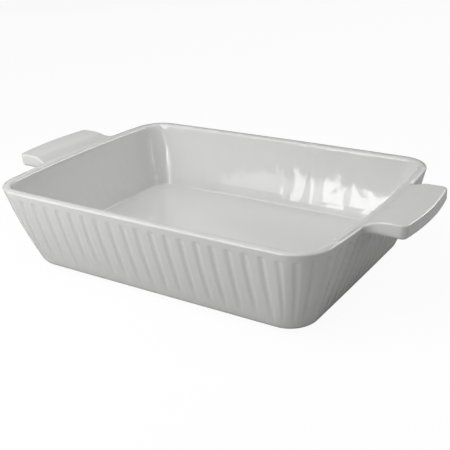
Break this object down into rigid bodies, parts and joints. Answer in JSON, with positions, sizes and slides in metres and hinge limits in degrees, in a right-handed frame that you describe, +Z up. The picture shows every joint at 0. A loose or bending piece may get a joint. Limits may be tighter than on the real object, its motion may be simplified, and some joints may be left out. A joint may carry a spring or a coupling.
{
  "type": "baking dish",
  "caption": "Rectangular glazed stoneware baking dish with leaning fluted walls, a rounded rim and a flat tab handle at each end.",
  "frame": {"origin": "on the table, under the middle of the dish", "axes": "+X along the length towards the right handle, +Y towards the back long wall, +Z up"},
  "size_m": [0.359, 0.2118, 0.074],
  "materials": {
    "glaze": "gloss white glaze over stoneware",
    "bare_clay": "unglazed, wiped foot"
  },
  "bodies": {
    "root": {"floor_slab": "glaze", "foot_ring": "bare_clay", "rim": "glaze", "front_wall": "glaze", "front_right_corner": "glaze", "right_wall": "glaze", "back_right_corner": "glaze", "back_wall": "glaze", "back_left_corner": "glaze", "left_wall": "glaze", "front_left_corner": "glaze", "right_handle": "glaze", "left_handle": "glaze"}
  },
  "joints": []
}
